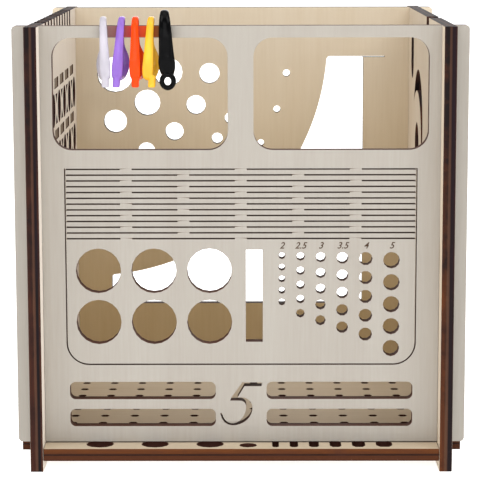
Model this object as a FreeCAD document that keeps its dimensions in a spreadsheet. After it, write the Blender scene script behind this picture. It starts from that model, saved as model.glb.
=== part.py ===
import FreeCAD, Part
import math
import os
import re
import Sketcher

# Driving dimensions of the caddy, in millimetres and degrees.
# X runs across the front, Y from front to back and Z up from the table.
sizes = {
    # plywood sheet and box
    "sheet_thickness": 4,
    "inner_width": 125,
    "height": 140,
    "panel_spacing": 136,
    "overhang": 8,
    "wing_reach": 4.5,
    "wing_corner": 1.3,
    "lap_height": 72,
    "lap_clearance": 0.1,
    "floor_lift": 3.5,
    "panel_gap": 0.4,
    # windows of the front panel
    "window_width": 54.7,
    "window_height": 35,
    "window_corner": 6,
    "mullion": 8,
    "rail": 3.7,
    # long slots under the flap
    "long_slot_length": 46.3,
    "long_slot_height": 5.6,
    "long_slot_corner": 1.8,
    "long_slot_inset": 8.1,
    "long_slot_top": 27.3,
    "long_slot_drop": 8.8,
    # flap and living hinge
    "kerf": 0.4,
    "flap_width": 110.2,
    "flap_bottom": 33,
    "flap_corner": 7,
    "hinge_top": 95.3,
    "slit_pitch": 1.83,
    "land_width": 3.8,
    "land_pitch": 36,
    "tool_hole": 14,
    "tool_hole_inset": 10.2,
    "tool_hole_columns": 3,
    "tool_hole_rows": 2,
    "tool_hole_pitch": 17.5,
    "tool_hole_top": 63.1,
    "tool_hole_drop": 16.4,
    "flap_slot_x": 4.2,
    "flap_slot_width": 5.3,
    "flap_slot_height": 29.5,
    "flap_slot_top": 69.8,
    "gauge_rows": 5,
    "gauge_top": 68.9,
    "gauge_inset": 5.2,
    "gauge_column_gap": 3.6,
    "gauge_fine_web": 1.7,
    "gauge_web": 2.05,
    "gauge_hole_1": 2,
    "gauge_hole_2": 2.5,
    "gauge_hole_3": 3,
    "gauge_hole_4": 3.5,
    "gauge_hole_5": 4,
    "gauge_hole_6": 5,
    # floor
    "floor_clearance": 0.1,
    "tab_setback": 6.5,
    "tab_length": 25,
    "tab_reach": 4,
    "grid_hole": 2.6,
    "grid_pitch": 10,
    "grid_columns": 12,
    "grid_rows": 10,
    "grid_setback": 26.6,
    "grid_shift": -0.95,
    "stop_hole": 8.4,
    "stop_margin": 2,
    "stop_shift": 2,
    # back panel: the fan of holes is centred near its upper left corner, each ring at an angle below the X axis
    "fan_x": 57.4,
    "fan_drop": 12.3,
    "fan_edge": 89.3,
    "fan_core_radius": 15.9,
    "fan_core_angle": 53.2,
    "fan_core_hole": 13.2,
    "fan_inner_radius": 31.8,
    "fan_inner_angle": 21.8,
    "fan_inner_step": 25.4,
    "fan_inner_count": 3,
    "fan_inner_first": 10.6,
    "fan_inner_last": 8.6,
    "fan_middle_radius": 46.7,
    "fan_middle_angle": 15.3,
    "fan_middle_step": 15.9,
    "fan_middle_count": 5,
    "fan_middle_first": 7.6,
    "fan_middle_last": 6,
    "fan_outer_radius": 60.4,
    "fan_outer_angle": 11.6,
    "fan_outer_step": 8.65,
    "fan_outer_count": 9,
    "fan_outer_first": 4.5,
    "fan_outer_last": 3.4,
    "fan_rim_radius": 75,
    "fan_rim_angle": 9.4,
    "fan_rim_step": 10.75,
    "fan_rim_count": 8,
    "fan_rim_first": 2.7,
    "fan_rim_last": 2,
    "cutout_drop": 18.2,
    "cutout_right": 45.5,
    "cutout_left": 49.8,
    "cutout_bottom": 27.6,
    "cutout_corner": 1.3,
    "relief_length": 8,
    # left side
    "comb_count": 10,
    "comb_pitch": 10,
    "comb_start": 48,
    "comb_notch": 5,
    "comb_depth": 6,
    "lattice_columns": 6,
    "lattice_rows": 2,
    "lattice_pitch": 20,
    "lattice_drop": 17.4,
    "lattice_start": 43.8,
    "lattice_inset": 30.6,
    "lattice_hole": 11,
    "bar_length": 14,
    "bar_height": 3.4,
    "bar_depth": 0.4,
    "vee_width": 7,
    "vee_height": 3.4,
    "vee_offset": 1.6,
    # right side
    "rest_near": -21,
    "rest_width": 9.8,
    "rest_depth": 6,
    "moon_radius": 19.8,
    "moon_y": 20.5,
    "moon_drop": 40,
    "disc_radius": 19.1,
    "disc_y": 25.7,
    "disc_drop": 47,
    "eye_hole": 16.6,
    "eye_y": 25,
    "eye_drop": 47.7,
    "tall_slot_y": 47.9,
    "tall_slot_width": 11.3,
    "tall_slot_height": 18,
    "tall_slot_drop": 7,
    # marker clips on the rail: each has its place along the rail and its turn about the vertical
    "clip_white_x": -42.7,
    "clip_white_turn": 12,
    "clip_purple_x": -36.8,
    "clip_purple_turn": -13,
    "clip_orange_x": -31.9,
    "clip_orange_turn": -12,
    "clip_yellow_x": -27.5,
    "clip_yellow_turn": -13,
    "clip_black_x": -22.8,
    "clip_black_turn": 0.2,
    "clip_drop": 1,
    "clip_inner": 2.8,
    "clip_wire": 1.7,
    "clip_arch": 1.1,
    "clip_length": 9.8,
    "clip_belly": 3.9,
    "clip_lean": 1.2,
    "clip_top_width": 1.5,
    "clip_width": 3.3,
    "clip_foot_width": 1.1,
    "clip_shoulder": 13,
    "clip_trim": 1,
    "clip_tail_width": 1.8,
    "clip_tail_length": 7.2,
    "hook_rise": 0.6,
    "hook_outer": 5.4,
    "hook_ring_width": 2.6,
    "hook_top_width": 2.2,
    "hook_width": 5.2,
    "hook_foot_width": 3.2,
    "hook_plate_depth": 2.6,
    "hook_plate_foot": 14.4,
    "hook_eye": 5,
    "hook_eye_hole": 2.3,
    "hook_eye_depth": 2,
    "hook_eye_drop": 1.8,
}

strip_count = 12
row_count = strip_count + 1
gauge_columns = 6
clip_colours = ("white", "purple", "orange", "yellow", "black")

# Flat sides of each round hole, more on the large ones that show most.
tool_hole_sides = 20
fan_core_sides = 16
fan_ring_sides = {"inner": 16, "middle": 16, "outer": 10, "rim": 10}
lattice_sides = 12
eye_sides = 24
stop_sides = 12
slot_end_sides = 3
gauge_sides = (8, 8, 8, 10, 10, 12)
grid_sides = 6
hook_eye_sides = 16

# Places that several pieces share, worked out from the driving dimensions.
side_inner = "(inner_width/2)"
side_outer = "(inner_width/2 + sheet_thickness)"
wing_edge = "(inner_width/2 + sheet_thickness + wing_reach)"
front_face = "(-(panel_spacing + sheet_thickness)/2)"
front_rear = "(-(panel_spacing - sheet_thickness)/2)"
back_face = "((panel_spacing - sheet_thickness)/2)"
back_rear = "((panel_spacing + sheet_thickness)/2)"
half_depth = "((panel_spacing + sheet_thickness)/2 + overhang)"
floor_top = "(floor_lift + sheet_thickness)"
panel_foot = "(floor_lift + sheet_thickness + panel_gap)"
tab_near = "((panel_spacing + sheet_thickness)/2 - tab_setback)"
fan_z = "(height - fan_drop)"
cutout_top = "(height - cutout_drop)"
tool_hole_x = "(-flap_width/2 + tool_hole_inset)"
clip_outer = "(clip_inner + clip_arch)"
clip_foot = "(-clip_length - clip_belly - clip_wire)"
tab_far = "((panel_spacing + sheet_thickness)/2 - tab_setback - tab_length)"

doc = FreeCAD.newDocument("ToolCaddy")
sheet = doc.addObject("Spreadsheet::Sheet", "Size")
for row, (alias, value) in enumerate(sizes.items(), 1):
    sheet.set(f"A{row}", alias)
    sheet.set(f"B{row}", str(value))
    sheet.setAlias(f"B{row}", alias)
doc.recompute()


def bind(text):
    # every word that isn't a function name is a cell of the sheet
    return re.sub(r"\b[a-z][a-z_0-9]*\b(?!\()", r"Size.\g<0>", text)


def number(text):
    return float(sheet.evalExpression(bind(text)))


def tie(target, path, text):
    target.setExpression(path, bind(text))


def add_body(label, x="0", y="0", z="0"):
    body = doc.addObject("PartDesign::Body", label)
    body.Label = label
    tie(body, ".Placement.Base.x", x)
    tie(body, ".Placement.Base.y", y)
    tie(body, ".Placement.Base.z", z)
    return body


def origin_item(body, role):
    return next(item for item in body.Origin.OriginFeatures if item.Role == role)


def add_sketch(body, plane, offset="0"):
    sketch = body.newObject("Sketcher::SketchObject", "Sketch")
    sketch.AttachmentSupport = (origin_item(body, plane), [""])
    sketch.MapMode = "FlatFace"
    tie(sketch, ".AttachmentOffset.Base.z", offset)
    return sketch


def dimension(sketch, constraint, text):
    index = sketch.addConstraint(constraint)
    tie(sketch, f"Constraints[{index}]", text)


def locate(sketch, geometry, point, x=None, y=None):
    if x is not None:
        dimension(sketch, Sketcher.Constraint("DistanceX", -1, 1, geometry, point, number(x)), x)
    if y is not None:
        dimension(sketch, Sketcher.Constraint("DistanceY", -1, 1, geometry, point, number(y)), y)


def add_arc(sketch, centre, radius, start, end):
    first = math.atan2(start.y - centre.y, start.x - centre.x)
    last = math.atan2(end.y - centre.y, end.x - centre.x)
    if last <= first:
        last += 2 * math.pi
    circle = Part.Circle(centre, FreeCAD.Vector(0, 0, 1), radius)
    return sketch.addGeometry(Part.ArcOfCircle(circle, first, last), False)


def add_outline(sketch, corners):
    # a closed outline of level and upright lines, each corner (x, y, radius or None)
    points = [FreeCAD.Vector(number(x), number(y), 0) for x, y, radius in corners]
    radii = [number(radius) if radius else 0 for x, y, radius in corners]
    count = len(corners)
    runs = []
    lines = []
    for i in range(count):
        following = (i + 1) % count
        run = (points[following] - points[i]).normalize()
        runs.append(run)
        start = points[i] + run * radii[i]
        end = points[following] - run * radii[following]
        lines.append(sketch.addGeometry(Part.LineSegment(start, end), False))
        if abs(run.x) > abs(run.y):
            sketch.addConstraint(Sketcher.Constraint("Horizontal", lines[i]))
            locate(sketch, lines[i], 1, y=corners[i][1])
        else:
            sketch.addConstraint(Sketcher.Constraint("Vertical", lines[i]))
            locate(sketch, lines[i], 1, x=corners[i][0])
    for i in range(count):
        before = lines[i - 1]
        if not radii[i]:
            sketch.addConstraint(Sketcher.Constraint("Coincident", before, 2, lines[i], 1))
            continue
        start = points[i] - runs[i - 1] * radii[i]
        end = points[i] + runs[i] * radii[i]
        centre = start + runs[i] * radii[i]
        left_turn = runs[i - 1].cross(runs[i]).z > 0
        first, last = (start, end) if left_turn else (end, start)
        arc = add_arc(sketch, centre, radii[i], first, last)
        ends = (1, 2) if left_turn else (2, 1)
        sketch.addConstraint(Sketcher.Constraint("Tangent", before, 2, arc, ends[0]))
        sketch.addConstraint(Sketcher.Constraint("Tangent", arc, ends[1], lines[i], 1))
        dimension(sketch, Sketcher.Constraint("Radius", arc, radii[i]), corners[i][2])


def add_box(sketch, left, bottom, right, top, radius=None):
    corners = [(left, bottom, radius), (right, bottom, radius), (right, top, radius), (left, top, radius)]
    add_outline(sketch, corners)


def add_polygon(sketch, corners):
    points = [FreeCAD.Vector(number(x), number(y), 0) for x, y in corners]
    count = len(points)
    lines = []
    for i in range(count):
        segment = Part.LineSegment(points[i], points[(i + 1) % count])
        lines.append(sketch.addGeometry(segment, False))
    for i in range(count):
        sketch.addConstraint(Sketcher.Constraint("Coincident", lines[i - 1], 2, lines[i], 1))
        locate(sketch, lines[i], 1, *corners[i])


def add_capsule(sketch, first, last):
    # two round ends, each (x, y, radius), joined by the lines that touch both
    near = FreeCAD.Vector(number(first[0]), number(first[1]), 0)
    far = FreeCAD.Vector(number(last[0]), number(last[1]), 0)
    near_radius = number(first[2])
    far_radius = number(last[2])
    along = far - near
    lean = (near_radius - far_radius) / along.Length
    along.normalize()
    across = FreeCAD.Vector(-along.y, along.x, 0)
    left = along * lean + across * math.sqrt(1 - lean * lean)
    right = along * lean - across * math.sqrt(1 - lean * lean)
    right_line = sketch.addGeometry(Part.LineSegment(near + right * near_radius, far + right * far_radius), False)
    far_arc = add_arc(sketch, far, far_radius, far + right * far_radius, far + left * far_radius)
    left_line = sketch.addGeometry(Part.LineSegment(far + left * far_radius, near + left * near_radius), False)
    near_arc = add_arc(sketch, near, near_radius, near + left * near_radius, near + right * near_radius)
    loop = [right_line, far_arc, left_line, near_arc]
    for i in range(len(loop)):
        sketch.addConstraint(Sketcher.Constraint("Tangent", loop[i - 1], 2, loop[i], 1))
    for arc, (x, y, radius) in ((near_arc, first), (far_arc, last)):
        locate(sketch, arc, 3, x, y)
        dimension(sketch, Sketcher.Constraint("Radius", arc, number(radius)), radius)


def add_crescent(sketch, moon, disc):
    # the part of the moon's circle that the disc's circle leaves, each (x, y, radius)
    centre = FreeCAD.Vector(number(moon[0]), number(moon[1]), 0)
    other = FreeCAD.Vector(number(disc[0]), number(disc[1]), 0)
    radius = number(moon[2])
    other_radius = number(disc[2])
    along = other - centre
    apart = along.Length
    along.normalize()
    across = FreeCAD.Vector(-along.y, along.x, 0)
    reach = (radius**2 - other_radius**2 + apart**2) / (2 * apart)
    half_chord = math.sqrt(radius**2 - reach**2)
    start = centre + along * reach + across * half_chord
    end = centre + along * reach - across * half_chord
    rim = add_arc(sketch, centre, radius, start, end)
    bite = add_arc(sketch, other, other_radius, start, end)
    sketch.addConstraint(Sketcher.Constraint("Coincident", rim, 1, bite, 1))
    sketch.addConstraint(Sketcher.Constraint("Coincident", rim, 2, bite, 2))
    for arc, (x, y, size) in ((rim, moon), (bite, disc)):
        locate(sketch, arc, 3, x, y)
        dimension(sketch, Sketcher.Constraint("Radius", arc, number(size)), size)


def pad(body, sketch, depth, symmetric=False):
    feature = body.newObject("PartDesign::Pad", "Pad")
    feature.Profile = sketch
    tie(feature, "Length", depth)
    if symmetric:
        feature.SideType = "Symmetric"
    return feature


def cut_through(body, sketch):
    feature = body.newObject("PartDesign::Pocket", "Cut")
    feature.Profile = sketch
    feature.Type = "ThroughAll"
    feature.SideType = "Symmetric"
    return feature


def engrave(body, sketch, depth):
    feature = body.newObject("PartDesign::Pocket", "Engraving")
    feature.Profile = sketch
    tie(feature, "Length", depth)
    return feature


def add_prism(body, kind, plane, place, across, height, sides):
    # a regular prism whose flats touch the true circle, standing at (x, y, z) of the plane
    prism = body.newObject(f"PartDesign::{kind}", "Round")
    prism.AttachmentSupport = (origin_item(body, plane), [""])
    prism.MapMode = "FlatFace"
    prism.Polygon = sides
    prism.Refine = False
    tie(prism, "Circumradius", f"{across}/2/cos(180/{sides})")
    tie(prism, "Height", height)
    for axis, text in zip("xyz", place):
        tie(prism, f".AttachmentOffset.Base.{axis}", text)
    return prism


def prism_hole(body, plane, x, y, across, sides):
    # a round hole right through the sheet
    place = (x, y, "(-sheet_thickness)")
    return add_prism(body, "SubtractivePrism", plane, place, across, "3*sheet_thickness", sides)


def repeat(body, feature, along, up=None):
    # copies along the body's own axes, each way (axis, count, pitch)
    pattern = body.newObject("PartDesign::LinearPattern", "Pattern")
    pattern.Originals = [feature]
    pattern.Refine = False
    pattern.Mode = "Extent"
    pattern.Direction = (origin_item(body, along[0]), [""])
    tie(pattern, "Occurrences", along[1])
    tie(pattern, "Length", f"({along[1]} - 1)*{along[2]}")
    if up:
        pattern.Mode2 = "Extent"
        pattern.Direction2 = (origin_item(body, up[0]), [""])
        tie(pattern, "Occurrences2", up[1])
        tie(pattern, "Length2", f"({up[1]} - 1)*{up[2]}")
    body.Tip = pattern


def upright_edges(feature, spots):
    # names of the sheet's through edges at the given (x, z) corners
    names = []
    for index, edge in enumerate(feature.Shape.Edges, 1):
        ends = [vertex.Point for vertex in edge.Vertexes]
        if len(ends) != 2 or abs(ends[0].y - ends[1].y) < number("sheet_thickness") / 2:
            continue
        for x, z in spots:
            if abs(ends[0].x - x) < number("kerf") and abs(ends[0].z - z) < number("kerf"):
                names.append(f"Edge{index}")
    return names


def gauge_column(index):
    # centre and diameter of one column of gauge holes, counted from the flap's right edge with an even gap
    x = f"flap_width/2 - gauge_inset - gauge_hole_{gauge_columns}/2"
    for after in range(gauge_columns, index, -1):
        x += f" - gauge_hole_{after}/2 - gauge_hole_{after - 1}/2 - gauge_column_gap"
    return f"({x})", f"gauge_hole_{index}"


def slit_row(index):
    # height of one slit row, counted from the top of the hinge
    return f"(hinge_top - {index - 1}*slit_pitch)"


def land_places(index):
    # the uncut bridges sit at the middle and quarter points on one row, and between these on the next
    return (1, 0, -1) if index % 2 else (0.5, -0.5)


def hinged_top(index):
    # the upper edge of the piece below one slit row, walked from right to left, with its lands
    edge = f"({slit_row(index)} - kerf/2)"
    bridge = f"({slit_row(index)} + kerf/2)"
    corners = [("(flap_width/2 - kerf/2)", edge, None)]
    for place in land_places(index):
        right = f"({place}*land_pitch + land_width/2)"
        left = f"({place}*land_pitch - land_width/2)"
        corners += [(right, edge, None), (right, bridge, None), (left, bridge, None), (left, edge, None)]
    return corners + [("(-flap_width/2 + kerf/2)", edge, None)]


def stop_slot(x, front, width):
    # corners of a floor slot with round ends, as long as the round stops are wide
    corners = []
    for centre, turn in ((f"({front} + stop_hole - {width}/2)", 0), (f"({front} + {width}/2)", 180)):
        for i in range(slot_end_sides + 1):
            angle = turn + 180 * i / slot_end_sides
            corners.append((f"({x} + {width}/2*cos({angle}))", f"({centre} + {width}/2*sin({angle}))"))
    return corners


def lapped_panel(label, y):
    # a cross panel with wings outside the sides, slotted from below over the side panels
    body = add_body(label, y=y)
    blank = add_sketch(body, "XZ_Plane")
    slot_inner = f"({side_inner} - lap_clearance)"
    slot_outer = f"({side_outer} + lap_clearance)"
    lap_top = "(lap_height + lap_clearance)"
    corners = [
        (f"(-{slot_inner})", panel_foot, None),
        (slot_inner, panel_foot, None),
        (slot_inner, lap_top, None),
        (slot_outer, lap_top, None),
        (slot_outer, panel_foot, None),
        (wing_edge, panel_foot, "wing_corner"),
        (wing_edge, "height", "wing_corner"),
        (f"(-{wing_edge})", "height", "wing_corner"),
        (f"(-{wing_edge})", panel_foot, "wing_corner"),
        (f"(-{slot_outer})", panel_foot, None),
        (f"(-{slot_outer})", lap_top, None),
        (f"(-{slot_inner})", lap_top, None),
    ]
    add_outline(blank, corners)
    pad(body, blank, "sheet_thickness")
    return body


def front_panel():
    body = lapped_panel("front_panel", front_rear)
    windows = add_sketch(body, "XZ_Plane")
    top = "(height - rail)"
    bottom = "(height - rail - window_height)"
    near = "(mullion/2)"
    far = "(mullion/2 + window_width)"
    add_box(windows, near, bottom, far, top, "window_corner")
    add_box(windows, f"(-{far})", bottom, f"(-{near})", top, "window_corner")
    cut_through(body, windows)

    opening = add_sketch(body, "XZ_Plane")
    side = "(flap_width/2 + kerf/2)"
    bottom = "(flap_bottom - kerf/2)"
    top = "(hinge_top + kerf/2)"
    radius = "(flap_corner + kerf/2)"
    corners = [
        (f"(-{side})", bottom, radius),
        (side, bottom, radius),
        (side, top, None),
        (f"(-{side})", top, None),
    ]
    add_outline(opening, corners)
    cut_through(body, opening)

    slots = add_sketch(body, "XZ_Plane")
    near = "long_slot_inset"
    far = "(long_slot_inset + long_slot_length)"
    for i in range(2):
        top = f"(long_slot_top - {i}*long_slot_drop)"
        bottom = f"({top} - long_slot_height)"
        add_box(slots, near, bottom, far, top, "long_slot_corner")
        add_box(slots, f"(-{far})", bottom, f"(-{near})", top, "long_slot_corner")
    cut_through(body, slots)
    return body


def hinge_strip(index):
    body = add_body(f"hinge_strip_{index:02d}", y=front_rear)
    blank = add_sketch(body, "XZ_Plane")
    bottom = f"({slit_row(index + 1)} + kerf/2)"
    corners = [("(-flap_width/2 + kerf/2)", bottom, None), ("(flap_width/2 - kerf/2)", bottom, None)]
    add_outline(blank, corners + hinged_top(index))
    pad(body, blank, "sheet_thickness")
    return body


def tool_flap():
    body = add_body("tool_flap", y=front_rear)
    blank = add_sketch(body, "XZ_Plane")
    bottom = "(flap_bottom + kerf/2)"
    radius = "(flap_corner - kerf/2)"
    corners = [("(-flap_width/2 + kerf/2)", bottom, radius), ("(flap_width/2 - kerf/2)", bottom, radius)]
    add_outline(blank, corners + hinged_top(row_count))
    pad(body, blank, "sheet_thickness")

    lowest = "(tool_hole_top - (tool_hole_rows - 1)*tool_hole_drop)"
    hole = prism_hole(body, "XZ_Plane", tool_hole_x, lowest, "tool_hole", tool_hole_sides)
    columns = ("X_Axis", "tool_hole_columns", "tool_hole_pitch")
    repeat(body, hole, columns, ("Z_Axis", "tool_hole_rows", "tool_hole_drop"))

    slot = add_sketch(body, "XZ_Plane")
    left = "(flap_slot_x - flap_slot_width/2)"
    right = "(flap_slot_x + flap_slot_width/2)"
    add_box(slot, left, "(flap_slot_top - flap_slot_height)", right, "flap_slot_top")
    cut_through(body, slot)

    for index in range(1, gauge_columns + 1):
        x, diameter = gauge_column(index)
        web = "gauge_fine_web" if index == 1 else "gauge_web"
        pitch = f"({diameter} + {web})"
        lowest = f"(gauge_top - {diameter}/2 - (gauge_rows - 1)*{pitch})"
        hole = prism_hole(body, "XZ_Plane", x, lowest, diameter, gauge_sides[index - 1])
        repeat(body, hole, ("Z_Axis", "gauge_rows", pitch))
    return body


def fan_hole(body, ring, diameter, sides):
    # a hole at its ring's radius from the fan's centre and at its angle below the X axis
    x = f"(-fan_x + fan_{ring}_radius*cos(fan_{ring}_angle))"
    z = f"({fan_z} - fan_{ring}_radius*sin(fan_{ring}_angle))"
    return prism_hole(body, "XZ_Plane", x, z, diameter, sides)


def fan_ring(body, axis, ring, sides):
    # copies of the ring's first hole, turned about the fan's centre and shrunk evenly down to the last
    first = fan_hole(body, ring, f"fan_{ring}_first", sides)
    copies = body.newObject("PartDesign::MultiTransform", "Ring")
    copies.Originals = [first]
    turn = body.newObject("PartDesign::PolarPattern", "Turn")
    turn.Mode = "Extent"
    turn.Axis = (axis, ["N_Axis"])
    turn.Reversed = True
    tie(turn, "Occurrences", f"fan_{ring}_count")
    tie(turn, "Angle", f"(fan_{ring}_count - 1)*fan_{ring}_step")
    shrink = body.newObject("PartDesign::Scaled", "Shrink")
    tie(shrink, "Occurrences", f"fan_{ring}_count")
    tie(shrink, "Factor", f"fan_{ring}_last/fan_{ring}_first")
    copies.Transformations = [turn, shrink]
    body.Tip = copies


def back_panel():
    body = lapped_panel("back_panel", back_rear)
    axis = add_sketch(body, "XZ_Plane")
    tie(axis, ".AttachmentOffset.Base.x", "(-fan_x)")
    tie(axis, ".AttachmentOffset.Base.y", fan_z)
    fan_hole(body, "core", "fan_core_hole", fan_core_sides)
    for ring, sides in fan_ring_sides.items():
        fan_ring(body, axis, ring, sides)

    opening = add_sketch(body, "XZ_Plane")
    top = number(cutout_top)
    bottom = number("cutout_bottom")
    right = number("cutout_right")
    left = -number("cutout_left")
    centre = FreeCAD.Vector(-number("fan_x"), number(fan_z), 0)
    radius = number("fan_edge")
    shoulder = FreeCAD.Vector(centre.x + math.sqrt(radius**2 - (top - centre.y) ** 2), top, 0)
    heel = FreeCAD.Vector(left, centre.y - math.sqrt(radius**2 - (left - centre.x) ** 2), 0)
    points = [shoulder, FreeCAD.Vector(right, top, 0), FreeCAD.Vector(right, bottom, 0)]
    points += [FreeCAD.Vector(left, bottom, 0), heel]
    edge = add_arc(opening, centre, radius, heel, shoulder)
    locate(opening, edge, 3, "(-fan_x)", fan_z)
    dimension(opening, Sketcher.Constraint("Radius", edge, radius), "fan_edge")
    lines = []
    for start, end in zip(points, points[1:]):
        lines.append(opening.addGeometry(Part.LineSegment(start, end), False))
    for before, after in zip(lines, lines[1:]):
        opening.addConstraint(Sketcher.Constraint("Coincident", before, 2, after, 1))
    opening.addConstraint(Sketcher.Constraint("Coincident", edge, 2, lines[0], 1))
    opening.addConstraint(Sketcher.Constraint("Coincident", lines[3], 2, edge, 1))
    for line, direction in zip(lines, ("Horizontal", "Vertical", "Horizontal", "Vertical")):
        opening.addConstraint(Sketcher.Constraint(direction, line))
    locate(opening, lines[0], 1, y=cutout_top)
    locate(opening, lines[1], 1, x="cutout_right")
    locate(opening, lines[2], 1, y="cutout_bottom")
    locate(opening, lines[3], 1, x="(-cutout_left)")
    cut = cut_through(body, opening)
    doc.recompute()

    rounding = body.newObject("PartDesign::Fillet", "Rounding")
    rounding.Base = (cut, upright_edges(cut, [(point.x, point.y) for point in points]))
    tie(rounding, "Radius", "cutout_corner")

    relief = add_sketch(body, "XZ_Plane")
    start = "(cutout_right - cutout_corner)"
    end = "(cutout_right + relief_length)"
    add_box(relief, start, f"({cutout_top} - kerf)", end, cutout_top)
    cut_through(body, relief)
    return body


def side_panel(label, x):
    # a side sheet on its feet, slotted from above for both cross panels and mortised for the floor's tabs
    body = add_body(label, x=x)
    blank = add_sketch(body, "YZ_Plane")
    add_box(blank, f"(-{half_depth})", "0", half_depth, "height")
    pad(body, blank, "sheet_thickness")

    slots = add_sketch(body, "YZ_Plane")
    above = "(height + sheet_thickness)"
    for near, far in ((front_face, front_rear), (back_face, back_rear)):
        add_box(slots, f"({near} - lap_clearance)", "lap_height", f"({far} + lap_clearance)", above)
    bottom = "(floor_lift - floor_clearance)"
    top = f"({floor_top} + floor_clearance)"
    near = f"({tab_near} + floor_clearance)"
    far = f"({tab_far} - floor_clearance)"
    add_box(slots, far, bottom, near, top)
    add_box(slots, f"(-{near})", bottom, f"(-{far})", top)
    cut_through(body, slots)
    return body


def left_side():
    body = side_panel("left_side", f"(-{side_outer})")
    above = "(height + sheet_thickness)"
    comb = add_sketch(body, "YZ_Plane")
    near = "(-comb_start - comb_notch/2)"
    far = "(-comb_start + comb_notch/2)"
    add_box(comb, near, "(height - comb_depth)", far, above)
    notch = cut_through(body, comb)
    repeat(body, notch, ("Y_Axis", "comb_count", "comb_pitch"))

    row = "(height - lattice_inset - (lattice_rows - 1)*lattice_drop)"
    hole = prism_hole(body, "YZ_Plane", "(-lattice_start)", row, "lattice_hole", lattice_sides)
    rows = ("Z_Axis", "lattice_rows", "lattice_drop")
    repeat(body, hole, ("Y_Axis", "lattice_columns", "lattice_pitch"), rows)

    vees = add_sketch(body, "YZ_Plane")
    middle = "(-lattice_start + lattice_pitch/2)"
    for way in (1, -1):
        tip = f"({row} + {way}*vee_offset)"
        base = f"({row} + {way}*(vee_offset + vee_height))"
        corners = [(middle, tip), (f"({middle} + vee_width/2)", base), (f"({middle} - vee_width/2)", base)]
        add_polygon(vees, corners)
    vee = cut_through(body, vees)
    columns = ("Y_Axis", "(lattice_columns - 1)", "lattice_pitch")
    repeat(body, vee, columns, rows)

    bars = add_sketch(body, "YZ_Plane", "sheet_thickness")
    lowest = f"({row} - lattice_drop/2)"
    left = f"({middle} - bar_length/2)"
    right = f"({middle} + bar_length/2)"
    add_box(bars, left, f"({lowest} - bar_height/2)", right, f"({lowest} + bar_height/2)")
    bar = engrave(body, bars, "bar_depth")
    repeat(body, bar, columns, ("Z_Axis", "(lattice_rows + 1)", "lattice_drop"))
    return body


def right_side():
    body = side_panel("right_side", side_inner)
    rest = add_sketch(body, "YZ_Plane")
    above = "(height + sheet_thickness)"
    add_box(rest, "rest_near", "(height - rest_depth)", "(rest_near + rest_width)", above)
    cut_through(body, rest)

    openings = add_sketch(body, "YZ_Plane")
    moon = ("moon_y", "(height - moon_drop)", "moon_radius")
    disc = ("disc_y", "(height - disc_drop)", "disc_radius")
    add_crescent(openings, moon, disc)
    radius = "(tall_slot_width/2)"
    top = "(height - tall_slot_drop)"
    low = ("tall_slot_y", f"({top} - tall_slot_height + {radius})", radius)
    high = ("tall_slot_y", f"({top} - {radius})", radius)
    add_capsule(openings, low, high)
    cut_through(body, openings)
    prism_hole(body, "YZ_Plane", "eye_y", "(height - eye_drop)", "eye_hole", eye_sides)
    return body


def floor_panel():
    body = add_body("floor_panel", z="floor_lift")
    blank = add_sketch(body, "XY_Plane")
    side = f"({side_inner} - floor_clearance)"
    tab_end = f"({side_outer} + tab_reach)"
    right_edge = [
        (side, f"(-{half_depth})", None),
        (side, f"(-{tab_near})", None),
        (tab_end, f"(-{tab_near})", None),
        (tab_end, f"(-{tab_far})", None),
        (side, f"(-{tab_far})", None),
        (side, tab_far, None),
        (tab_end, tab_far, None),
        (tab_end, tab_near, None),
        (side, tab_near, None),
        (side, half_depth, None),
    ]
    left_edge = [(f"(-{x})", y, None) for x, y, radius in reversed(right_edge)]
    add_outline(blank, right_edge + left_edge)
    pad(body, blank, "sheet_thickness")

    front = f"(-{half_depth} + stop_margin)"
    stop = prism_hole(body, "XY_Plane", tool_hole_x, f"({front} + stop_hole/2)", "stop_hole", stop_sides)
    repeat(body, stop, ("X_Axis", "tool_hole_columns", "tool_hole_pitch"))
    slot_stop = f"({front} + flap_slot_width/2)"
    prism_hole(body, "XY_Plane", "(flap_slot_x - stop_shift)", slot_stop, "flap_slot_width", stop_sides)
    stops = add_sketch(body, "XY_Plane")
    for index in range(1, gauge_columns + 1):
        x, diameter = gauge_column(index)
        add_polygon(stops, stop_slot(f"({x} - stop_shift)", front, diameter))
    cut_through(body, stops)

    x = "(grid_shift - (grid_columns - 1)*grid_pitch/2)"
    hole = prism_hole(body, "XY_Plane", x, f"({front_face} + grid_setback)", "grid_hole", grid_sides)
    columns = ("X_Axis", "grid_columns", "grid_pitch")
    repeat(body, hole, columns, ("Y_Axis", "grid_rows", "grid_pitch"))
    return body


def marker_clip(colour, top, width):
    # a closed loop over the rail, a round arch above and a wider belly below, with its outer top circle given
    x = f"clip_{colour}_x"
    body = add_body(f"clip_{colour}", x, f"({front_face} + sheet_thickness/2)", "(height - clip_drop)")
    body.Placement = FreeCAD.Placement(FreeCAD.Vector(), FreeCAD.Rotation(FreeCAD.Vector(0, 0, 1), 1))
    tie(body, ".Placement.Rotation.Angle", f"clip_{colour}_turn")
    loop = add_sketch(body, "YZ_Plane")
    add_capsule(loop, top, ("clip_lean", "(-clip_length)", "(clip_belly + clip_wire)"))
    add_capsule(loop, ("0", "0", "clip_inner"), ("clip_lean", "(-clip_length)", "clip_belly"))
    pad(body, loop, width, symmetric=True)
    return body


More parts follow.
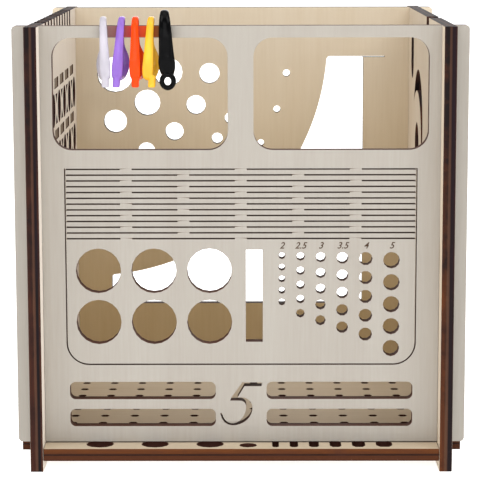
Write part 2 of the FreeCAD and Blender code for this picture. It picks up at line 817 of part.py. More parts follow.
def trim_clip(body, top, widths):
    # cuts the clip to its outline from the front: its widths at the top, the shoulder and the foot
    foot = f"({clip_foot} - clip_trim)"
    heights = (f"({top} + clip_trim)", "(-clip_shoulder)", foot)
    right = [(f"({width}/2)", height) for width, height in zip(widths, heights)]
    left = [(f"(-{x})", z) for x, z in reversed(right)]
    outline = add_sketch(body, "XZ_Plane")
    add_box(outline, f"(-{widths[1]})", f"({foot} - clip_trim)", widths[1], f"({top} + 2*clip_trim)")
    add_polygon(outline, right + left)
    cut_through(body, outline)


def pin_clip(colour):
    # the loop tapers towards its arch, and its front arm runs on as a small tail
    body = marker_clip(colour, ("0", "0", clip_outer), "(clip_width + clip_trim)")
    trim_clip(body, clip_outer, ("clip_top_width", "clip_width", "clip_foot_width"))
    tail = add_sketch(body, "YZ_Plane")
    front = "(clip_lean - clip_belly - clip_wire)"
    tail_top = "(-clip_length - clip_trim)"
    add_box(tail, front, f"({tail_top} - clip_tail_length)", f"({front} + clip_wire)", tail_top)
    pad(body, tail, "clip_tail_width", symmetric=True)
    return body


def hook_clip(colour):
    # the last clip is a broader hook with a front plate, whose eye faces the front
    body = marker_clip(colour, ("0", "hook_rise", "hook_outer"), "hook_ring_width")
    plate = add_sketch(body, "YZ_Plane")
    add_box(plate, "(-hook_outer)", "(-hook_plate_foot)", "(-hook_outer + hook_plate_depth)", "hook_rise")
    pad(body, plate, "(hook_width + clip_trim)", symmetric=True)
    trim_clip(body, "(hook_rise + hook_outer)", ("hook_top_width", "hook_width", "hook_foot_width"))
    middle = "(-hook_plate_foot - hook_eye_drop)"
    rear = "(hook_outer - hook_plate_depth/2 - hook_eye_depth/2)"
    add_prism(body, "AdditivePrism", "XZ_Plane", ("0", middle, rear), "hook_eye", "hook_eye_depth", hook_eye_sides)
    place = ("0", middle, f"({rear} - clip_trim)")
    depth = "(hook_eye_depth + 2*clip_trim)"
    add_prism(body, "SubtractivePrism", "XZ_Plane", place, "hook_eye_hole", depth, hook_eye_sides)
    return body


parts = [front_panel()]
parts += [hinge_strip(index) for index in range(1, strip_count + 1)]
parts += [tool_flap(), back_panel(), left_side(), right_side(), floor_panel()]
parts += [pin_clip(colour) for colour in clip_colours[:-1]]
parts += [hook_clip(clip_colours[-1])]
doc.recompute()

cutters = ("PartDesign::Pocket", "PartDesign::SubtractivePrism")
for item in doc.Objects:
    if "Invalid" in item.State or "Error" in item.State:
        raise RuntimeError(f"{item.Name} of {item.Label} did not build: {item.State}")
    if item.TypeId in cutters and item.Shape.Volume >= item.BaseFeature.Shape.Volume:
        raise RuntimeError(f"{item.Name} cuts nothing")
for body in parts:
    shape = body.Shape
    if shape.isNull() or not shape.isValid() or len(shape.Solids) != 1:
        raise RuntimeError(f"{body.Label} is not one valid solid")

os.makedirs("parts", exist_ok=True)
for body in parts:
    body.Shape.exportStep(f"parts/{body.Label}.step")
    print(body.Label, round(body.Shape.Volume, 1))
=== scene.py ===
from math import cos, pi, sin, tau
import bpy
import bmesh
from mathutils import Matrix, Vector
from mathutils.geometry import interpolate_bezier


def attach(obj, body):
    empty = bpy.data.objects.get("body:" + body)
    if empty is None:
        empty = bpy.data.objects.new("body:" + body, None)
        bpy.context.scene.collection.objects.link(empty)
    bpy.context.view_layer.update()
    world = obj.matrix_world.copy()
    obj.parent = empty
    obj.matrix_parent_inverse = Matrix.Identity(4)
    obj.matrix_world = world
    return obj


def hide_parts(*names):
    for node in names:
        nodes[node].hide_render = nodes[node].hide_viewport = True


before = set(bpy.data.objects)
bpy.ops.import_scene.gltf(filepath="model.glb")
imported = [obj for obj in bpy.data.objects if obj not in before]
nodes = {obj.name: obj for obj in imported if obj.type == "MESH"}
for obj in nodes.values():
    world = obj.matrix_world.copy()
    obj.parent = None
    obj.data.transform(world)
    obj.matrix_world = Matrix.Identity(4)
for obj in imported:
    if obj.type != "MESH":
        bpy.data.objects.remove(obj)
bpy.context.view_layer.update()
mm = 0.001
print("frame:", len(nodes), "nodes")


# small helpers for shader trees
def newFinish(name):
    finish = bpy.data.materials.new(name)
    finish.use_nodes = True
    tree = finish.node_tree
    return finish, tree, tree.nodes["Principled BSDF"]


def put(tree, kind, **settings):
    node = tree.nodes.new(kind)
    for key, value in settings.items():
        setattr(node, key, value)
    return node


def wire(tree, source, target):
    tree.links.new(source, target)


def sums(tree, operation, first, second):
    node = put(tree, "ShaderNodeMath", operation=operation)
    for socket, value in zip(node.inputs, (first, second)):
        if isinstance(value, (int, float)):
            socket.default_value = value
        else:
            wire(tree, value, socket)
    return node.outputs[0]


def spread(tree, value, low, high):  # maps low..high to 0..1
    node = put(tree, "ShaderNodeMapRange")
    wire(tree, value, node.inputs["Value"])
    node.inputs["From Min"].default_value = low
    node.inputs["From Max"].default_value = high
    return node.outputs["Result"]


def ramp(tree, value, stops):
    node = put(tree, "ShaderNodeValToRGB")
    wire(tree, value, node.inputs["Fac"])
    marks = node.color_ramp.elements
    while len(marks) < len(stops):
        marks.new(0.5)
    for mark, (place, colour) in zip(marks, stops):
        mark.position = place
        mark.color = (*colour, 1)
    return node.outputs["Color"]


def blendColour(tree, share, first, second, way="MIX"):
    node = put(tree, "ShaderNodeMix", data_type="RGBA", blend_type=way)
    for socket, value in ((node.inputs[0], share), (node.inputs[6], first), (node.inputs[7], second)):
        if isinstance(value, (int, float)):
            socket.default_value = value
        elif isinstance(value, tuple):
            socket.default_value = (*value, 1)
        else:
            wire(tree, value, socket)
    return node.outputs[2]


def product(tree, first, *others):
    for value in others:
        first = sums(tree, "MULTIPLY", first, value)
    return first


def splitAxes(tree, vector):
    node = put(tree, "ShaderNodeSeparateXYZ")
    wire(tree, vector, node.inputs[0])
    return node.outputs


def streaks(tree, place, along, grain):  # noise drawn out along one axis
    acrossScale, alongScale, detail, rough = grain
    stretch = [alongScale if axis == along else acrossScale for axis in range(3)]
    mapping = put(tree, "ShaderNodeMapping")
    wire(tree, place, mapping.inputs["Vector"])
    mapping.inputs["Scale"].default_value = stretch
    noise = put(tree, "ShaderNodeTexNoise")
    wire(tree, mapping.outputs["Vector"], noise.inputs["Vector"])
    noise.inputs["Scale"].default_value = 1.0
    noise.inputs["Detail"].default_value = detail
    noise.inputs["Roughness"].default_value = rough
    return noise.outputs["Fac"]


def addBump(tree, shader, height, bump):
    strength, distance = bump
    node = put(tree, "ShaderNodeBump")
    node.inputs["Strength"].default_value = strength
    node.inputs["Distance"].default_value = distance
    wire(tree, height, node.inputs["Height"])
    wire(tree, node.outputs["Normal"], shader.inputs["Normal"])


# birch plywood: pale sanded faces, laser-browned cut edges with the plies showing
plywood = {
    "thickness": 4 * mm,
    "pale": (0.384, 0.356, 0.316),
    "dark": (0.352, 0.320, 0.280),
    "inward": 0,  # 1 or -1 where these veneer colours are only on the face that looks that way
    "paintedLowShade": None,  # painted shade: two heights and the colour that is multiplied in from one down to the other, so the veneer darkens towards the foot
    "engraved": (0.22, 0.165, 0.115),
    "rim": (0.10, 0.052, 0.028),  # the burn line along a cut corner
    "plies": [  # place through the sheet and colour
        (0.0, (0.055, 0.017, 0.009)), (0.36, (0.045, 0.013, 0.008)), (0.42, (0.075, 0.034, 0.02)),
        (0.58, (0.07, 0.03, 0.018)), (0.64, (0.007, 0.005, 0.005)), (0.80, (0.007, 0.005, 0.005)),
        (0.87, (0.05, 0.017, 0.009)), (1.0, (0.075, 0.027, 0.013)),
    ],
    "burntPlies": [
        (0.0, (0.034, 0.013, 0.011)), (0.14, (0.010, 0.006, 0.006)), (0.40, (0.008, 0.005, 0.005)),
        (0.46, (0.055, 0.026, 0.017)), (0.58, (0.045, 0.021, 0.014)), (0.64, (0.012, 0.006, 0.008)),
        (0.88, (0.014, 0.006, 0.008)), (1.0, (0.045, 0.015, 0.009)),
    ],
    "charred": (0.50, 0.80),  # the burn at which an edge starts and ends to blacken
    "charRise": 2.2,  # the burn gets heavier up the sheet, per metre
    "charHoles": None,  # edges behind the first y and within the second x are burnt all over
    "fibreBurn": 0.5,  # how far the dark fibres go towards the burnt plies
    "faceFrom": (0.80, 0.96),  # how squarely a surface looks out to count as face
    "rimFrom": (0.30, 0.60),
    "fineGrain": (1100, 55, 4.0, 0.6),  # streaks per metre across and along the grain, detail, roughness
    "broadGrain": (110, 7, 3.0, 0.5),
    "grainShares": (0.55, 0.45),
    "grainStops": (0.30, 0.62),
    "fibre": (1600, 90, 3.0, 0.6),
    "fibreRange": (0.3, 0.7),
    "patches": (70, 70, 5.0, 0.7),
    "rough": 0.62,
    "shine": 0.08,
    "bump": (0.12, 0.1 * mm),
}


def veneerRamp(tree, grain, look):
    darkStop, paleStop = look["grainStops"]
    return ramp(tree, grain, [(darkStop, look["dark"]), (paleStop, look["pale"])])


def veneerColour(tree, grain, height, facing, look):
    veneer = veneerRamp(tree, grain, look)
    # painted shade: the veneer darkens down towards the foot, where the front sheet shades the back
    # sheet
    if look["paintedLowShade"]:
        high, low, shadeColour = look["paintedLowShade"]
        veneer = blendColour(tree, spread(tree, height, high, low), veneer, shadeColour, "MULTIPLY")
    # the face that looks inward takes the look's own veneer, the other face the plain one; on the back
    # and side sheets that inner veneer is painted light
    if look["inward"]:
        isInner = sums(tree, "GREATER_THAN", sums(tree, "MULTIPLY", facing, look["inward"]), 0)
        veneer = blendColour(tree, isInner, veneerRamp(tree, grain, plywood), veneer)
    return veneer


# painted light: the coloured light the clips throw on the rail; its sideways place is read from a clip,
# so it slides with the clips
# the clip is set further down, once the clips are made
def addPaintedClipLight(tree, veneer, height, facing, clipLight):
    byClips = put(tree, "ShaderNodeTexCoord", name="byClips")
    x = splitAxes(tree, byClips.outputs["Object"])[0]
    left, right = clipLight["across"]
    start = spread(tree, x, left, left + clipLight["fade"])
    end = spread(tree, x, right, right - clipLight["fade"])
    above = spread(tree, height, *clipLight["above"])
    outside = sums(tree, "LESS_THAN", facing, -0.5)
    where = product(tree, start, end, above, outside)
    return blendColour(tree, where, veneer, ramp(tree, spread(tree, x, left, right), clipLight["colours"]))


# cut edge: outer plies, glue lines and core across the sheet, charred in patches along it
def edgeColour(tree, place, axes, across, along, middle, look):
    depth = sums(tree, "DIVIDE", sums(tree, "SUBTRACT", axes[across], middle), look["thickness"])
    depth = sums(tree, "ADD", depth, 0.5)  # 0 at one face of the sheet, 1 at the other
    plies = ramp(tree, depth, look["plies"])
    burntPlies = ramp(tree, depth, look["burntPlies"])
    burn = streaks(tree, place, along, look["patches"])
    burn = sums(tree, "ADD", burn, sums(tree, "MULTIPLY", axes[2], look["charRise"]))
    if look["charHoles"]:
        backFrom, within = look["charHoles"]
        isBehind = sums(tree, "GREATER_THAN", axes[1], backFrom)
        isWithin = sums(tree, "LESS_THAN", sums(tree, "ABSOLUTE", axes[0], 0), within)
        burn = sums(tree, "ADD", burn, product(tree, isBehind, isWithin))
    fibre = spread(tree, streaks(tree, place, along, look["fibre"]), *look["fibreRange"])
    plies = blendColour(tree, fibre, blendColour(tree, look["fibreBurn"], plies, burntPlies), plies)
    return blendColour(tree, spread(tree, burn, *look["charred"]), plies, burntPlies)


# across is the axis through the sheet, along the axis of the grain, middle the sheet's middle plane
def plywoodFinish(name, across, along, middle, look, engravedBelow=None, clipLight=None):
    finish, tree, shader = newFinish(name)
    coordinates = put(tree, "ShaderNodeTexCoord")
    place = coordinates.outputs["Object"]
    axes = splitAxes(tree, place)
    facing = splitAxes(tree, coordinates.outputs["Normal"])[across]
    outward = sums(tree, "ABSOLUTE", facing, 0)

    fine = streaks(tree, place, along, look["fineGrain"])
    broad = streaks(tree, place, along, look["broadGrain"])
    fineShare, broadShare = look["grainShares"]
    broadPart = sums(tree, "MULTIPLY", broad, broadShare)
    grain = sums(tree, "ADD", sums(tree, "MULTIPLY", fine, fineShare), broadPart)
    veneer = veneerColour(tree, grain, axes[2], facing, look)
    if engravedBelow is not None:
        isSunk = sums(tree, "LESS_THAN", axes[across], engravedBelow)
        isInner = sums(tree, "GREATER_THAN", facing, 0.5)
        veneer = blendColour(tree, product(tree, isSunk, isInner), veneer, look["engraved"])
    # painted coloured light from the clips on the rail's front face
    if clipLight:
        veneer = addPaintedClipLight(tree, veneer, axes[2], facing, clipLight)

    edge = edgeColour(tree, place, axes, across, along, middle, look)
    edge = blendColour(tree, spread(tree, outward, *look["rimFrom"]), edge, look["rim"])
    isFace = spread(tree, outward, *look["faceFrom"])
    wire(tree, blendColour(tree, isFace, edge, veneer), shader.inputs["Base Color"])
    shader.inputs["Roughness"].default_value = look["rough"]
    shader.inputs["Specular IOR Level"].default_value = look["shine"]
    addBump(tree, shader, fine, look["bump"])
    return finish


# painted light: the rail between the clips is coloured with the light the clips throw on it
paintedClipLight = {
    "across": (-42.0 * mm, -23.5 * mm),
    "above": (136.3 * mm, 136.6 * mm),
    "fade": 1.2 * mm,
    "colours": [(0.10, (0.24, 0.115, 0.105)), (0.26, (0.26, 0.09, 0.085)), (0.46, (0.50, 0.045, 0.04)),
                (0.70, (0.62, 0.07, 0.012)), (0.86, (0.26, 0.075, 0.02)), (1.0, (0.16, 0.07, 0.03))],
}

# the sheets: front, back, right side, left side and floor
reddish = {
    **plywood,
    "plies": [
        (0.0, (0.10, 0.032, 0.018)), (0.33, (0.09, 0.028, 0.016)), (0.38, (0.03, 0.012, 0.009)),
        (0.44, (0.13, 0.052, 0.03)), (0.57, (0.12, 0.046, 0.027)), (0.62, (0.03, 0.011, 0.008)),
        (0.68, (0.085, 0.028, 0.017)), (1.0, (0.08, 0.026, 0.016)),
    ],
    "burntPlies": [
        (0.0, (0.07, 0.024, 0.016)), (0.33, (0.055, 0.019, 0.013)), (0.38, (0.015, 0.007, 0.006)),
        (0.44, (0.095, 0.038, 0.024)), (0.57, (0.085, 0.033, 0.021)), (0.62, (0.012, 0.006, 0.005)),
        (0.68, (0.045, 0.016, 0.011)), (1.0, (0.05, 0.018, 0.012)),
    ],
}
# inner faces of the back and side sheets: a warmer wood tone, and painted paler than the outer faces to
# stand for the light inside the box
goldenLitInside = {
    **plywood, "inward": -1, "pale": (0.685, 0.588, 0.452), "dark": (0.645, 0.54, 0.398),
    # painted shade towards the foot of the back sheet
    "paintedLowShade": (130 * mm, 30 * mm, (0.84, 0.75, 0.56)),
}
warmLitInside = {
    **plywood, "inward": -1, "pale": (0.68, 0.58, 0.455), "dark": (0.62, 0.515, 0.385),
    "plies": [(0.0, (0.11, 0.032, 0.009)), (0.34, (0.085, 0.024, 0.008)), (0.41, (0.085, 0.04, 0.022)),
              (0.59, (0.075, 0.034, 0.02)), (0.66, (0.010, 0.006, 0.006)), (1.0, (0.008, 0.005, 0.006))],
}
pinkishLitInside = {**plywood, "inward": 1, "pale": (0.82, 0.74, 0.65), "dark": (0.77, 0.685, 0.59)}
floorLook = {
    **warmLitInside, "inward": 1, "pale": (0.54, 0.45, 0.335), "dark": (0.495, 0.40, 0.285),
    "burntPlies": [(0.0, (0.05, 0.017, 0.011)), (1.0, (0.05, 0.017, 0.011))],
    "charRise": 0.0, "charred": (0.60, 0.90), "charHoles": (-77 * mm, 61 * mm),
    "plies": [(0.0, (0.058, 0.017, 0.006)), (0.40, (0.07, 0.021, 0.006)), (0.46, (0.012, 0.005, 0.003)),
              (0.54, (0.016, 0.006, 0.004)), (0.62, (0.09, 0.027, 0.006)), (1.0, (0.12, 0.037, 0.009))],
}
sheets = {
    "front_panel": plywoodFinish("frontPly", 1, 2, -68 * mm, reddish, clipLight=paintedClipLight),
    "back_panel": plywoodFinish("backPly", 1, 2, 68 * mm, goldenLitInside),
    "left_side": plywoodFinish("leftPly", 0, 2, -64.5 * mm, pinkishLitInside, engravedBelow=-62.7 * mm),
    "right_side": plywoodFinish("rightPly", 0, 2, 64.5 * mm, warmLitInside),
    "floor_panel": plywoodFinish("floorPly", 2, 0, 5.5 * mm, floorLook),
}
for name in nodes:
    if name.startswith("hinge_strip") or name == "tool_flap":
        sheets[name] = sheets["front_panel"]
for name, finish in sheets.items():
    nodes[name].data.materials.clear()
    nodes[name].data.materials.append(finish)
print("plywood on", len(sheets), "nodes")


# the front number is cut right through: outline in millimetres on the front face
numeral = {
    "bar": [(0.32, 27.1), (6.5, 27.1), (6.5, 25.9), (1.05, 25.9), (-1.15, 22.2)],
    "bowlOuter": [(-1.15, 22.2), (3.2, 22.9), (4.8, 19.0), (2.6, 15.8)],
    "bowlFoot": [(2.6, 15.8), (0.6, 12.9), (-5.6, 11.2), (-6.65, 17.0)],
    "bowlBack": [(-6.15, 17.25), (-5.2, 12.4), (-0.6, 13.0), (1.0, 16.6)],
    "bowlInner": [(1.0, 16.6), (2.4, 19.8), (1.2, 21.3), (-0.6, 21.2)],
    "foot": [(-3.5, 21.2), (-3.1, 22.2)],
    "steps": 10,
    "closest": 0.02,  # points nearer than this are one
    "depth": (-73, -63),  # the cutter's front and back
}


def numeralOutline(shape):
    points = list(shape["bar"])
    for key in ("bowlOuter", "bowlFoot", "bowlBack", "bowlInner"):
        knots = [Vector((x, z, 0)) for x, z in shape[key]]
        points += [(p.x, p.y) for p in interpolate_bezier(*knots, shape["steps"])]
    points += shape["foot"]
    outline = []
    for point in points:
        if not outline or (Vector(point) - Vector(outline[-1])).length > shape["closest"]:
            outline.append(point)
    return outline


def numeralCutter(shape):
    near, far = shape["depth"]
    form = bmesh.new()
    ring = [form.verts.new((x * mm, near * mm, z * mm)) for x, z in numeralOutline(shape)]
    face = form.faces.new(ring)
    grown = bmesh.ops.extrude_face_region(form, geom=[face])
    moved = [item for item in grown["geom"] if isinstance(item, bmesh.types.BMVert)]
    bmesh.ops.translate(form, verts=moved, vec=(0, (far - near) * mm, 0))
    bmesh.ops.recalc_face_normals(form, faces=form.faces)
    mesh = bpy.data.meshes.new("numeralCutter")
    form.to_mesh(mesh)
    form.free()
    return bpy.data.objects.new("numeralCutter", mesh)


cutter = numeralCutter(numeral)

# every cut corner of the sheets is broken a little, which is where the burn line sits
easing = {
    "weld": 0.002 * mm,
    "width": 0.12 * mm,
    "kerfWidth": 0.05 * mm,  # on the front sheet, whose kerfs are narrow
    "angle": 1.2,
}
for name in sheets:
    sheet = nodes[name]
    weld = sheet.modifiers.new("weld", "WELD")
    weld.merge_threshold = easing["weld"]
    if name == "front_panel":
        cut = sheet.modifiers.new("numeral", "BOOLEAN")
        cut.operation = "DIFFERENCE"
        cut.solver = "EXACT"
        cut.object = cutter
    ease = sheet.modifiers.new("ease", "BEVEL")
    ease.width = easing["kerfWidth" if sheets[name] is sheets["front_panel"] else "width"]
    ease.segments = 1
    ease.limit_method = "ANGLE"
    ease.angle_limit = easing["angle"]
    ease.use_clamp_overlap = True
    sheet.modifiers.new("flatten", "WEIGHTED_NORMAL")
print("sheets eased, number cut")


# gauge sizes burnt above each column of holes
gauge = {
    "sizes": [("2", 12.9), ("2.5", 18.75), ("3", 25.1), ("3.5", 31.95), ("4", 39.3), ("5", 47.4)],
    "height": 2.9,  # text size in millimetres
    "base": 70.15,
    "front": -70.012,
    "slant": 0.32,
    "weight": 0.035,
    "depth": 0.01,
    "burn": (0.045, 0.026, 0.016),
    "lighter": 2.2,  # how much paler the burn is in spots
    "spots": (1500, 1500, 3.0, 0.6),
    "spotStops": (0.3, 0.75),
    "rough": 0.8,
    "shine": 0.15,
}


def burntFinish(name, look):
    finish, tree, shader = newFinish(name)
    place = put(tree, "ShaderNodeTexCoord")
    spots = streaks(tree, place.outputs["Object"], 2, look["spots"])
    pale = [look["lighter"] * value for value in look["burn"]]
    darkStop, paleStop = look["spotStops"]
    colour = ramp(tree, spots, [(darkStop, look["burn"]), (paleStop, pale)])
    wire(tree, colour, shader.inputs["Base Color"])
    shader.inputs["Roughness"].default_value = look["rough"]
    shader.inputs["Specular IOR Level"].default_value = look["shine"]
    return finish


burnt = burntFinish("burntNumbers", gauge)
upright = Matrix.Rotation(pi / 2, 4, "X")
for index, (words, x) in enumerate(gauge["sizes"]):
    curve = bpy.data.curves.new(f"gaugeNumber{index + 1}", "FONT")
    curve.body = words
    curve.size = gauge["height"] * mm
    curve.shear = gauge["slant"]
    curve.align_x = "CENTER"
    curve.extrude = gauge["depth"] * mm
    curve.offset = gauge["weight"] * mm
    curve.materials.append(burnt)
    label = bpy.data.objects.new(f"gaugeNumber{index + 1}", curve)
    bpy.context.scene.collection.objects.link(label)
    spot = Vector((x, gauge["front"], gauge["base"])) * mm
    label.matrix_world = Matrix.Translation(spot) @ upright
    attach(label, "flap")
print("gauge numbers:", len(gauge["sizes"]))


# moulded clips: each is one closed loop from the foot up the front, over the rail and down behind
# a loop row is y, z, sideways swing, half width and half thickness in millimetres from the rail
pinLoop = [
    (0.4, -15.3, 0.60, 1.55, 0.85), (-2.7, -14.5, 0.10, 1.66, 0.90), (-3.8, -11.4, 0.00, 1.74, 0.90),
    (-3.7, -6.5, 0.00, 1.48, 0.85), (-3.5, -1.5, 0.00, 1.26, 0.72), (-2.9, 1.8, 0.00, 1.14, 0.62),
    (0.0, 3.3, 0.05, 1.04, 0.58), (2.8, 1.8, 0.12, 0.94, 0.56), (3.3, -1.5, 0.20, 0.85, 0.52),
    (3.6, -5.2, 0.45, 0.95, 0.60), (5.2, -8.6, 1.20, 1.60, 0.75), (5.6, -11.6, 1.55, 1.85, 0.85),
    (3.8, -14.4, 1.15, 1.72, 0.85),
]
hookLoop = [
    (0.6, -14.2, 0.1, 1.70, 0.80), (-2.6, -13.6, 0.0, 2.15, 1.00), (-3.9, -11.0, 0.0, 2.66, 1.25),
    (-4.0, -6.5, 0.0, 2.32, 1.25), (-4.1, -1.5, 0.0, 2.08, 1.20), (-3.6, 2.2, 0.0, 1.82, 1.10),
    (-1.9, 4.6, 0.0, 1.50, 0.90), (0.6, 5.05, 0.0, 1.30, 0.80), (3.2, 3.6, 0.1, 1.15, 0.75),
    (4.2, 0.0, 0.2, 1.10, 0.70), (4.8, -5.0, 0.3, 1.10, 0.80), (5.6, -9.6, 0.4, 1.15, 0.90),
    (4.0, -13.2, 0.2, 1.30, 0.90),
]
clips = {
    "white": {
        "x": -42.15, "swing": -1, "lean": -0.4, "tailShift": -0.2,
        "colour": (0.52, 0.49, 0.55), "gloss": 0.35,
    },
    "purple": {
        "x": -37.75, "swing": 1, "lean": 1.0, "tailShift": 0.1,
        "colour": (0.265, 0.13, 0.54), "gloss": 0.3,
    },
    "orange": {
        "x": -32.7, "swing": 1, "lean": 0.1, "tailShift": 0.1,
        "colour": (0.84, 0.055, 0.001), "gloss": 0.14,
    },
    "yellow": {
        "x": -28.4, "swing": 1, "lean": 0.7, "tailShift": 1.5,
        "colour": (0.86, 0.46, 0.022), "gloss": 0.3,
    },
    "black": {  # a hook with an eye, no tail
        "x": -22.95, "swing": 1, "lean": -0.5,
        "colour": (0.0015, 0.0015, 0.0018), "gloss": 0.07,
    },
}
moulding = {
    "railMiddle": (-68, 139),  # where a loop's y and z start from
    "steps": 5,  # rings between two loop rows
    "sides": 16,
    "leanFrom": -7.0,  # a clip leans about this height, over this length
    "leanOver": 11.0,
    # tail rows: z, half width, half thickness
    "tail": [(-14.2, 1.25, 0.90), (-15.6, 1.22, 0.88), (-17.6, 1.2, 0.85), (-18.0, 1.1, 0.75)],
    "tailY": -2.9,
    "eye": {"y": -4.0, "z": -16.0, "radius": 1.82, "thickness": 0.82, "tall": 1.12, "steps": 48},
    "voxel": 0.2 * mm,
    "smoothing": (0.5, 5),  # strength and rounds
    "flow": (260, 120, 2.0, 0.5),
    "flowStops": (0.3, 0.6),
    "deeper": 0.82,  # how much darker the colour is where it flowed thick
    "rough": 0.16,
    "dimples": (900, 900, 2.0, 0.5),
    "bump": (0.08, 0.1 * mm),
}


def plasticFinish(name, look):
    finish, tree, shader = newFinish(name)
    place = put(tree, "ShaderNodeTexCoord").outputs["Object"]
    flow = streaks(tree, place, 2, moulding["flow"])
    deep = [moulding["deeper"] * value for value in look["colour"]]
    deepStop, plainStop = moulding["flowStops"]
    colour = ramp(tree, flow, [(deepStop, deep), (plainStop, look["colour"])])
    wire(tree, colour, shader.inputs["Base Color"])
    shader.inputs["Roughness"].default_value = moulding["rough"]
    shader.inputs["Specular IOR Level"].default_value = look["gloss"]
    addBump(tree, shader, streaks(tree, place, 2, moulding["dimples"]), moulding["bump"])
    return finish


def between(rows, index, share):  # smooth curve through the rows of a closed loop
    before, first, last, after = (rows[(index + k) % len(rows)] for k in (-1, 0, 1, 2))
    return [0.5 * (2 * b + (c - a) * share + (2 * a - 5 * b + 4 * c - d) * share ** 2
                   + (3 * b - a - 3 * c + d) * share ** 3)
            for a, b, c, d in zip(before, first, last, after)]


def joinRings(form, rings, closed):
    count = len(rings)
    for i in range(count if closed else count - 1):
        near, far = rings[i], rings[(i + 1) % count]
        for k in range(len(near)):
            m = (k + 1) % len(near)
            form.faces.new((near[k], near[m], far[m], far[k]))


def addRing(form, centre, wide, tall):  # an oval of points round a centre, wide and tall are vectors
    ring = []
    for k in range(moulding["sides"]):
        turn = tau * k / moulding["sides"]
        ring.append(form.verts.new((centre + wide * cos(turn) + tall * sin(turn)) * mm))
    return ring


def leanAt(look, z):
    return look["lean"] * (z - moulding["leanFrom"]) / moulding["leanOver"]


def addLoop(form, rows, look):
    steps = moulding["steps"]
    samples = [between(rows, i, k / steps) for i in range(len(rows)) for k in range(steps)]
    rings = []
    for i, (y, z, swing, wide, thick) in enumerate(samples):
        ahead = samples[(i + 1) % len(samples)]
        behind = samples[i - 1]
        run = Vector((0, ahead[0] - behind[0], ahead[1] - behind[1])).normalized()
        centre = Vector((look["swing"] * swing + leanAt(look, z), y, z))
        rings.append(addRing(form, centre, Vector((wide, 0, 0)), Vector((0, -run.z, run.y)) * thick))
    joinRings(form, rings, True)


def addTail(form, look):
    rings = []
    for z, wide, thick in moulding["tail"]:
        centre = Vector((leanAt(look, z) + look["tailShift"], moulding["tailY"], z))
        rings.append(addRing(form, centre, Vector((wide, 0, 0)), Vector((0, thick, 0))))
    joinRings(form, rings, False)
    form.faces.new(rings[0])
    form.faces.new(rings[-1])


def addEye(form, look):
    eye = moulding["eye"]
    shift = leanAt(look, eye["z"])
    middle = Vector((shift, eye["y"], eye["z"]))
    rings = []
    for k in range(eye["steps"]):
        turn = tau * k / eye["steps"]
        out = Vector((cos(turn), 0, sin(turn)))
        centre = middle + Vector((out.x, 0, out.z * eye["tall"])) * eye["radius"]
        rings.append(addRing(form, centre, out * eye["thickness"], Vector((0, eye["thickness"], 0))))
    joinRings(form, rings, True)


def mouldClip(colour, look):
    form = bmesh.new()
    if colour == "black":
        addLoop(form, hookLoop, look)
        addEye(form, look)
    else:
        addLoop(form, pinLoop, look)
        addTail(form, look)
    railY, railZ = moulding["railMiddle"]
    bmesh.ops.translate(form, verts=form.verts, vec=(look["x"] * mm, railY * mm, railZ * mm))
    bmesh.ops.recalc_face_normals(form, faces=form.faces)
    mesh = bpy.data.meshes.new(f"{colour}Clip")
    form.to_mesh(mesh)
    form.free()
    mesh.materials.append(plasticFinish(f"{colour}Plastic", look))
    clip = bpy.data.objects.new(f"{colour}Clip", mesh)
    bpy.context.scene.collection.objects.link(clip)
    skin = clip.modifiers.new("mouldedSkin", "REMESH")
    skin.mode = "VOXEL"
    skin.voxel_size = moulding["voxel"]
    skin.use_smooth_shade = True
    soft = clip.modifiers.new("soften", "SMOOTH")
    soft.factor, soft.iterations = moulding["smoothing"]
    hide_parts(f"clip_{colour}")
    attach(clip, f"{colour}_clip")
    return clip


moulded = {colour: mouldClip(colour, look) for colour, look in clips.items()}
sheets["front_panel"].node_tree.nodes["byClips"].object = moulded["white"]
print("clips:", len(moulded))


# studio: pale floor, white surround, soft boxes and the camera
studio = {
    "floorSide": 14.0,
    "wallHeight": 1.2,
    "floorColour": (0.93, 0.93, 0.93),
    "floorRough": 0.9,
    "floorGlow": 0.68,
    "surround": 0.42,
    "aim": (0, 0, 0.07),
    # each light: name, place, size, power
    "lights": [
        ("frontBox", (-0.1, -1.9, 0.7), 1.2, 9.0),
        ("leftBox", (-1.1, -0.6, 1.4), 1.0, 12.0),
        ("rightBox", (1.1, -0.6, 1.4), 1.0, 12.0),
        ("topBox", (0.0, -0.2, 1.8), 1.4, 9.0),
        ("backBox", (0.2, 1.7, 0.9), 1.2, 8.0),
    ],
}


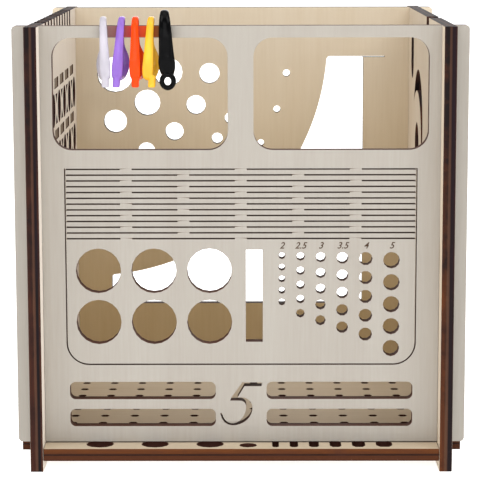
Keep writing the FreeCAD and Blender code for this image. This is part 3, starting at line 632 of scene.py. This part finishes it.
def stageFloor(look):
    half = look["floorSide"] / 2
    mesh = bpy.data.meshes.new("stageFloor")
    corners = [(-half, -half), (half, -half), (half, half), (-half, half)]
    points = [(x, y, z) for z in (0, look["wallHeight"]) for x, y in corners]
    walls = [(k, (k + 1) % 4, (k + 1) % 4 + 4, k + 4) for k in range(4)]
    mesh.from_pydata(points, [], [(0, 1, 2, 3)] + walls)
    floor = bpy.data.objects.new("stageFloor", mesh)
    bpy.context.scene.collection.objects.link(floor)
    finish, _, shader = newFinish("paleFloor")
    shader.inputs["Base Color"].default_value = (*look["floorColour"], 1)
    shader.inputs["Roughness"].default_value = look["floorRough"]
    shader.inputs["Emission Color"].default_value = (1, 1, 1, 1)
    shader.inputs["Emission Strength"].default_value = look["floorGlow"]
    mesh.materials.append(finish)


def stageLights(look):
    world = bpy.data.worlds.new("surround")
    bpy.context.scene.world = world
    world.use_nodes = True
    sky = world.node_tree.nodes["Background"]
    sky.inputs["Color"].default_value = (1, 1, 1, 1)
    sky.inputs["Strength"].default_value = look["surround"]
    for name, place, size, power in look["lights"]:
        lamp = bpy.data.lights.new(name, "AREA")
        lamp.size = size
        lamp.energy = power
        box = bpy.data.objects.new(name, lamp)
        bpy.context.scene.collection.objects.link(box)
        box.location = place
        aim = Vector(look["aim"]) - Vector(place)
        box.rotation_mode = "QUATERNION"
        box.rotation_quaternion = aim.to_track_quat("-Z", "Y")


lens = {
    "place": (3.0989 * mm, -716.514 * mm, 172.2406 * mm),
    "right": (0.99998585, 0.00488695, -0.00209948),
    "up": (0.00133274, 0.15191331, 0.98839292),
    "ahead": (-0.00514917, 0.98838174, -0.15190465),
    "focal": 2080.861,  # in pixels
    "frameSide": 480,
    "sensor": 36,
}


def stageCamera(look):
    camera = bpy.data.cameras.new("camera")
    camera.sensor_width = look["sensor"]
    camera.lens = look["focal"] / look["frameSide"] * look["sensor"]
    camera.clip_start = 0.01
    camera.dof.use_dof = False
    eye = bpy.data.objects.new("camera", camera)
    bpy.context.scene.collection.objects.link(eye)
    turn = Matrix((look["right"], look["up"], [-value for value in look["ahead"]])).transposed()
    eye.matrix_world = Matrix.Translation(look["place"]) @ turn.to_4x4()
    bpy.context.scene.camera = eye


stageFloor(studio)
stageLights(studio)
stageCamera(lens)
bpy.context.scene.view_settings.view_transform = "Standard"
print("studio ready")
